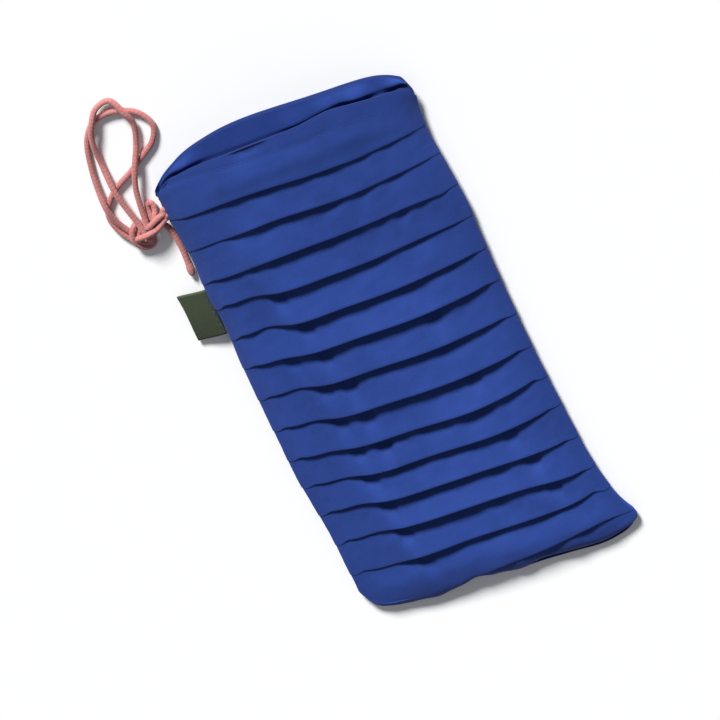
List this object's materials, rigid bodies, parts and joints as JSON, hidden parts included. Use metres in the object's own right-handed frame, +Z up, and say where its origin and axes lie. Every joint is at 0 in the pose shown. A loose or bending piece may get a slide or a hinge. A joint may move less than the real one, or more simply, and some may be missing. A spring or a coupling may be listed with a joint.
{
  "type": "glasses pouch",
  "caption": "Soft drawstring pouch for folded glasses, with knife tucks across its front, a cord tied in a bow at one side seam and a small folded side label.",
  "frame": {"origin": "middle of the flat underside of the back panel, which the pouch lies on", "axes": "+Z up, out of the tucked front; +Y along the pouch to its mouth; +X across it, away from the seam with the cord and the label"},
  "size_m": [0.1154, 0.2144, 0.0178],
  "materials": {
    "pouch_cloth": "matte woven cloth",
    "lining_cloth": "matte woven cloth",
    "sewing_thread": "matte thread",
    "label_ribbon": "matte woven ribbon",
    "drawstring_cord": "matte soft cord"
  },
  "bodies": {
    "pouch_back": {"back_panel": "pouch_cloth", "back_lining": "lining_cloth", "back_facing": "pouch_cloth", "back_heading_stitch": "sewing_thread", "back_channel_stitch": "sewing_thread", "left_seam_thread": "sewing_thread", "right_seam_thread": "sewing_thread", "bottom_seam_thread": "sewing_thread", "label_stitch": "sewing_thread", "drawstring_back_run": "drawstring_cord"},
    "pouch_front": {"front_panel": "pouch_cloth", "front_lining": "lining_cloth", "front_facing": "pouch_cloth", "front_heading_stitch": "sewing_thread", "front_channel_stitch": "sewing_thread", "drawstring_front_run": "drawstring_cord"},
    "cord_knot": {"drawstring_front_lead": "drawstring_cord", "drawstring_back_lead": "drawstring_cord", "bow_knot": "drawstring_cord"},
    "cord_loops": {"bow_loop_long": "drawstring_cord", "bow_loop_round": "drawstring_cord", "bow_tail_short": "drawstring_cord"},
    "cord_tail": {"bow_tail_long": "drawstring_cord"},
    "label": {"side_label": "label_ribbon"}
  },
  "joints": [
    {"name": "mouth_open", "type": "hinge", "parent": "pouch_back", "child": "pouch_front", "pos_m": [0, -0.0955, 0.0018], "axis": [1, 0, 0], "range_deg": [0, 8]},
    {"name": "drawstring_pull", "type": "slide", "parent": "pouch_back", "child": "cord_knot", "axis": [-0.9637, -0.2669, 0], "range_m": [0, 0.018]},
    {"name": "bow_lift", "type": "hinge", "parent": "cord_knot", "child": "cord_loops", "pos_m": [-0.0572, 0.068, 0.0011], "axis": [1, 0, 0], "range_deg": [0, 85]},
    {"name": "tail_lift", "type": "hinge", "parent": "cord_knot", "child": "cord_tail", "pos_m": [-0.0508, 0.0676, 0.0011], "axis": [-1, 0, 0], "range_deg": [0, 80]},
    {"name": "label_flap", "type": "hinge", "parent": "pouch_back", "child": "label", "pos_m": [-0.0498, 0.034, 0.003], "axis": [0, 1, 0], "range_deg": [0, 90]}
  ]
}
